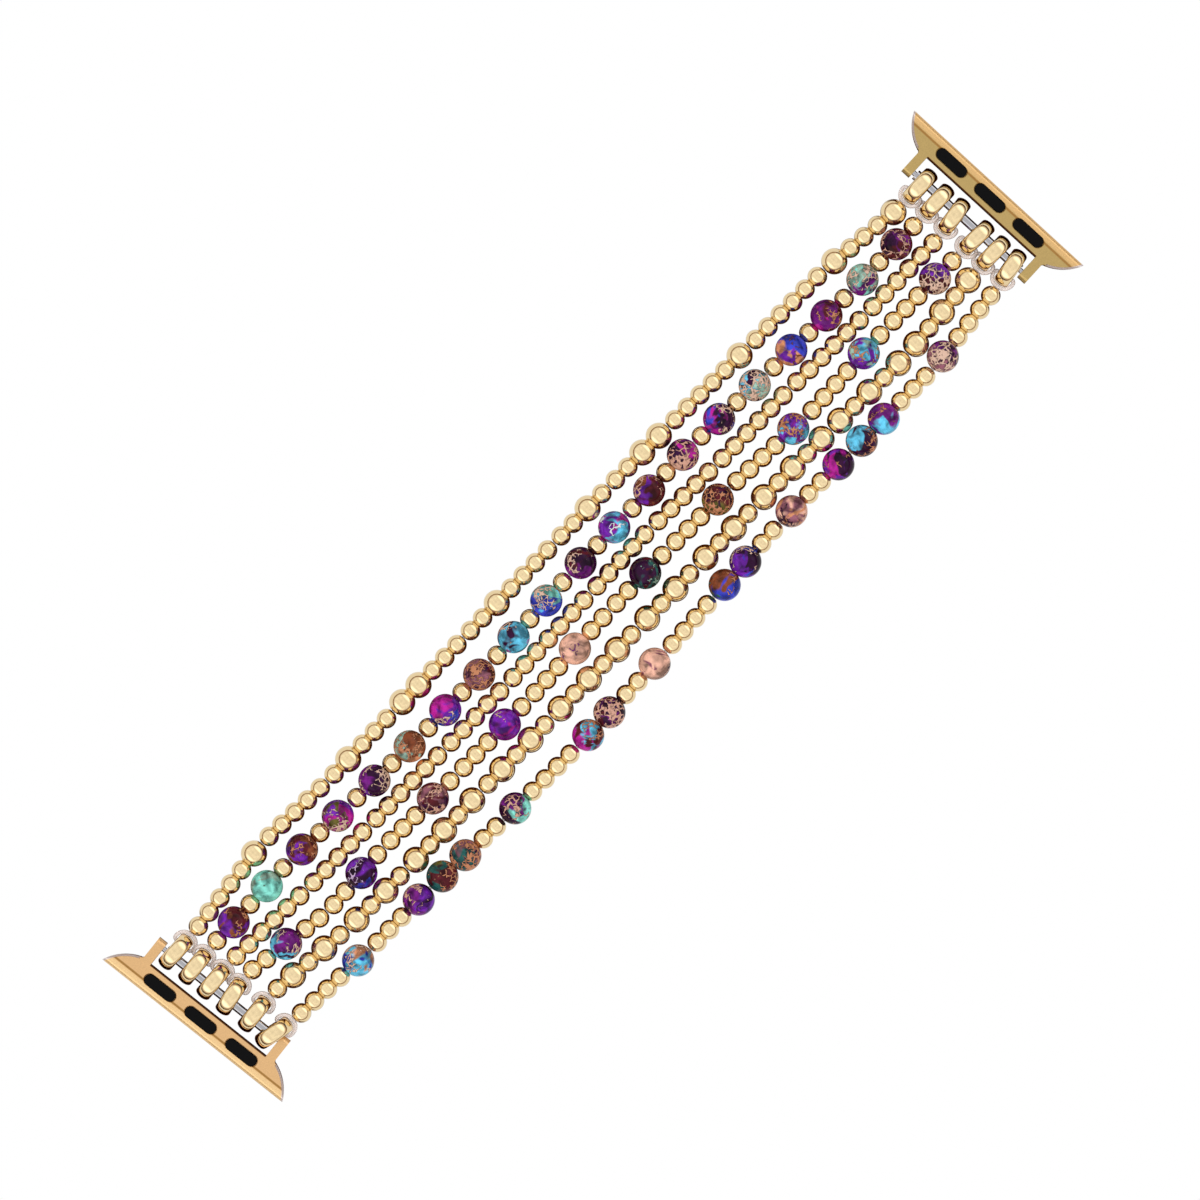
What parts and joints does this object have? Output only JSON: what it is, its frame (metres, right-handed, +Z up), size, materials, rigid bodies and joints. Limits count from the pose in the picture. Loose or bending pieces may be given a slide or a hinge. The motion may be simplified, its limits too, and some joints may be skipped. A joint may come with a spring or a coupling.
{
  "type": "beaded watch band",
  "caption": "Elastic watch band of parallel bead strands between two quick-release lug adapters, each held on a spring bar by metal rings.",
  "frame": {"origin": "middle of the band in plan, on the surface that its rings rest on", "axes": "+X along the strands from the left adapter to the right one, +Y towards strand 1, +Z up out of the face with the oblong pads"},
  "size_m": [0.1782, 0.0346, 0.0062],
  "materials": {
    "polished_gold": "mirror polished pale gold plating",
    "jasper": "polished dyed jasper, opaque, purple and teal with tan veins",
    "clear_elastic": "clear elastic cord",
    "satin_gold": "satin anodised gold",
    "black_rubber": "matt black",
    "steel": "bright turned"
  },
  "bodies": {
    "row_01": {"gold_beads_row_01": "polished_gold", "stone_beads_row_01": "jasper"},
    "row_02": {"gold_beads_row_02": "polished_gold", "stone_beads_row_02": "jasper", "elastic_cords_bend_1": "clear_elastic"},
    "row_03": {"gold_beads_row_03": "polished_gold", "stone_beads_row_03": "jasper", "elastic_cords_bend_2": "clear_elastic"},
    "row_04": {"gold_beads_row_04": "polished_gold", "stone_beads_row_04": "jasper", "elastic_cords_bend_3": "clear_elastic"},
    "row_05": {"gold_beads_row_05": "polished_gold", "stone_beads_row_05": "jasper", "elastic_cords_bend_4": "clear_elastic", "elastic_cords_bend_5": "clear_elastic"},
    "row_06": {"gold_beads_row_06": "polished_gold", "stone_beads_row_06": "jasper", "elastic_cords_bend_6": "clear_elastic"},
    "row_07": {"gold_beads_row_07": "polished_gold", "stone_beads_row_07": "jasper", "elastic_cords_bend_7": "clear_elastic"},
    "row_08": {"gold_beads_row_08": "polished_gold", "stone_beads_row_08": "jasper", "elastic_cords_bend_8": "clear_elastic"},
    "row_09": {"gold_beads_row_09": "polished_gold", "stone_beads_row_09": "jasper", "elastic_cords_bend_9": "clear_elastic"},
    "row_10": {"gold_beads_row_10": "polished_gold", "stone_beads_row_10": "jasper"},
    "left_strand_ends": {"left_end_cords": "clear_elastic"},
    "left_rings": {"left_ring_1": "polished_gold", "left_ring_2": "polished_gold", "left_ring_3": "polished_gold", "left_ring_4": "polished_gold", "left_ring_5": "polished_gold", "left_ring_6": "polished_gold"},
    "left_adapter": {"left_lug": "satin_gold", "left_lug_pads": "black_rubber", "left_lock_spring": "steel"},
    "left_spring_bar": {"left_bar_tube": "steel", "left_bar_spring": "steel"},
    "left_tip_a": {"left_bar_tip_a": "steel"},
    "left_tip_b": {"left_bar_tip_b": "steel"},
    "left_button": {"left_lock_button": "black_rubber"},
    "right_strand_ends": {"right_end_cords": "clear_elastic"},
    "right_rings": {"right_ring_1": "polished_gold", "right_ring_2": "polished_gold", "right_ring_3": "polished_gold", "right_ring_4": "polished_gold", "right_ring_5": "polished_gold", "right_ring_6": "polished_gold"},
    "right_adapter": {"right_lug": "satin_gold", "right_lug_pads": "black_rubber", "right_lock_spring": "steel"},
    "right_spring_bar": {"right_bar_tube": "steel", "right_bar_spring": "steel"},
    "right_tip_a": {"right_bar_tip_a": "steel"},
    "right_tip_b": {"right_bar_tip_b": "steel"},
    "right_button": {"right_lock_button": "black_rubber"}
  },
  "joints": [
    {"name": "bend_1", "type": "hinge", "parent": "row_02", "child": "row_01", "pos_m": [-0.05986, 0, 0.0031], "axis": [0, 1, 0], "range_deg": [-24, 24], "deforming": ["elastic_cords_bend_1"]},
    {"name": "bend_2", "type": "hinge", "parent": "row_03", "child": "row_02", "pos_m": [-0.04683, 0, 0.0031], "axis": [0, 1, 0], "range_deg": [-24, 24], "deforming": ["elastic_cords_bend_2"]},
    {"name": "bend_3", "type": "hinge", "parent": "row_04", "child": "row_03", "pos_m": [-0.0314, 0, 0.0031], "axis": [0, 1, 0], "range_deg": [-24, 24], "deforming": ["elastic_cords_bend_3"]},
    {"name": "bend_4", "type": "hinge", "parent": "row_05", "child": "row_04", "pos_m": [-0.0163, 0, 0.0031], "axis": [0, 1, 0], "range_deg": [-24, 24], "deforming": ["elastic_cords_bend_4"]},
    {"name": "bend_5", "type": "hinge", "parent": "row_05", "child": "row_06", "pos_m": [0.00257, 0, 0.0031], "axis": [0, -1, 0], "range_deg": [-24, 24], "deforming": ["elastic_cords_bend_5"]},
    {"name": "bend_6", "type": "hinge", "parent": "row_06", "child": "row_07", "pos_m": [0.01496, 0, 0.0031], "axis": [0, -1, 0], "range_deg": [-24, 24], "deforming": ["elastic_cords_bend_6"]},
    {"name": "bend_7", "type": "hinge", "parent": "row_07", "child": "row_08", "pos_m": [0.02863, 0, 0.0031], "axis": [0, -1, 0], "range_deg": [-24, 24], "deforming": ["elastic_cords_bend_7"]},
    {"name": "bend_8", "type": "hinge", "parent": "row_08", "child": "row_09", "pos_m": [0.04452, 0, 0.0031], "axis": [0, -1, 0], "range_deg": [-24, 24], "deforming": ["elastic_cords_bend_8"]},
    {"name": "bend_9", "type": "hinge", "parent": "row_09", "child": "row_10", "pos_m": [0.06159, 0, 0.0031], "axis": [0, -1, 0], "range_deg": [-24, 24], "deforming": ["elastic_cords_bend_9"]},
    {"name": "left_stretch", "type": "slide", "parent": "row_01", "child": "left_strand_ends", "axis": [-1, 0, 0], "range_m": [0, 0.008], "stiffness_N_per_m": 300, "deforming": ["left_end_cords"]},
    {"name": "left_loop_swing", "type": "hinge", "parent": "left_strand_ends", "child": "left_rings", "pos_m": [-0.07978, 0.00072, 0.0031], "axis": [-0.0924, 0.9957, 0], "range_deg": [-15, 15]},
    {"name": "left_bar_swing", "type": "hinge", "parent": "left_rings", "child": "left_adapter", "pos_m": [-0.08055, 0.00065, 0.0031], "axis": [-0.0924, 0.9957, 0], "range_deg": [-55, 55]},
    {"name": "left_bar_spin", "type": "hinge", "parent": "left_adapter", "child": "left_spring_bar", "pos_m": [-0.08055, 0.00065, 0.0031], "axis": [-0.0924, 0.9957, 0], "continuous": true},
    {"name": "left_tip_a_slide", "type": "slide", "parent": "left_spring_bar", "child": "left_tip_a", "axis": [0.0924, -0.9957, 0], "range_m": [0, 0.0012], "stiffness_N_per_m": 300, "deforming": ["left_bar_spring"]},
    {"name": "left_tip_b_slide", "type": "slide", "parent": "left_spring_bar", "child": "left_tip_b", "axis": [-0.0924, 0.9957, 0], "range_m": [0, 0.0012], "stiffness_N_per_m": 300},
    {"name": "left_button_press", "type": "slide", "parent": "left_adapter", "child": "left_button", "axis": [0, 0, -1], "range_m": [0, 0.0005], "stiffness_N_per_m": 300, "deforming": ["left_lock_spring"]},
    {"name": "right_stretch", "type": "slide", "parent": "row_10", "child": "right_strand_ends", "axis": [1, 0, 0], "range_m": [0, 0.008], "stiffness_N_per_m": 300, "deforming": ["right_end_cords"]},
    {"name": "right_loop_swing", "type": "hinge", "parent": "right_strand_ends", "child": "right_rings", "pos_m": [0.08093, -0.00017, 0.0031], "axis": [0.0216, -0.9998, 0], "range_deg": [-15, 15]},
    {"name": "right_bar_swing", "type": "hinge", "parent": "right_rings", "child": "right_adapter", "pos_m": [0.08175, -0.00015, 0.0031], "axis": [0.0216, -0.9998, 0], "range_deg": [-55, 55]},
    {"name": "right_bar_spin", "type": "hinge", "parent": "right_adapter", "child": "right_spring_bar", "pos_m": [0.08175, -0.00015, 0.0031], "axis": [0.0216, -0.9998, 0], "continuous": true},
    {"name": "right_tip_a_slide", "type": "slide", "parent": "right_spring_bar", "child": "right_tip_a", "axis": [-0.0216, 0.9998, 0], "range_m": [0, 0.0012], "stiffness_N_per_m": 300, "deforming": ["right_bar_spring"]},
    {"name": "right_tip_b_slide", "type": "slide", "parent": "right_spring_bar", "child": "right_tip_b", "axis": [0.0216, -0.9998, 0], "range_m": [0, 0.0012], "stiffness_N_per_m": 300},
    {"name": "right_button_press", "type": "slide", "parent": "right_adapter", "child": "right_button", "axis": [0, 0, -1], "range_m": [0, 0.0005], "stiffness_N_per_m": 300, "deforming": ["right_lock_spring"]}
  ]
}
